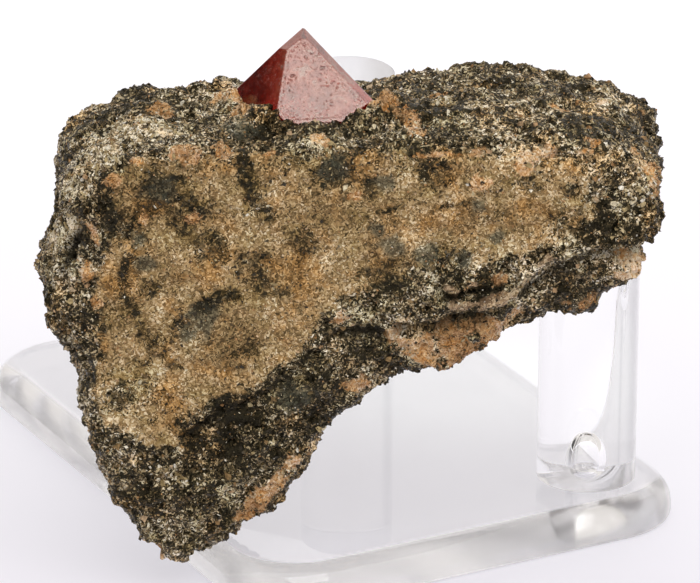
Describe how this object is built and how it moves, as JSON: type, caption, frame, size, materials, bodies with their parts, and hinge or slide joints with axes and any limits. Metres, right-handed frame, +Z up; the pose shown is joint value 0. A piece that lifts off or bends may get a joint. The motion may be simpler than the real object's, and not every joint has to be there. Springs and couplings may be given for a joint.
{
  "type": "zircon crystal specimen",
  "caption": "Red zircon pyramid standing out of a slab of biotite rock, propped upright on a clear plate with round posts.",
  "frame": {"origin": "centre of the stand's underside", "axes": "+Z up, the rock's flat sandy front face looks along -Y, +X towards the post under the rock's right end"},
  "size_m": [0.0888, 0.0978, 0.0703],
  "materials": {
    "biotite_rock": "broken rock, dark mica grains and ochre weathered skin",
    "red_zircon": "adamantine natural crystal faces, slightly pitted",
    "clear_acrylic": "polished clear acrylic"
  },
  "bodies": {
    "root": {"matrix": "biotite_rock", "zircon_crystal": "red_zircon", "stand_base": "clear_acrylic", "post_right_front": "clear_acrylic", "post_right_back": "clear_acrylic", "post_left": "clear_acrylic"}
  },
  "joints": []
}
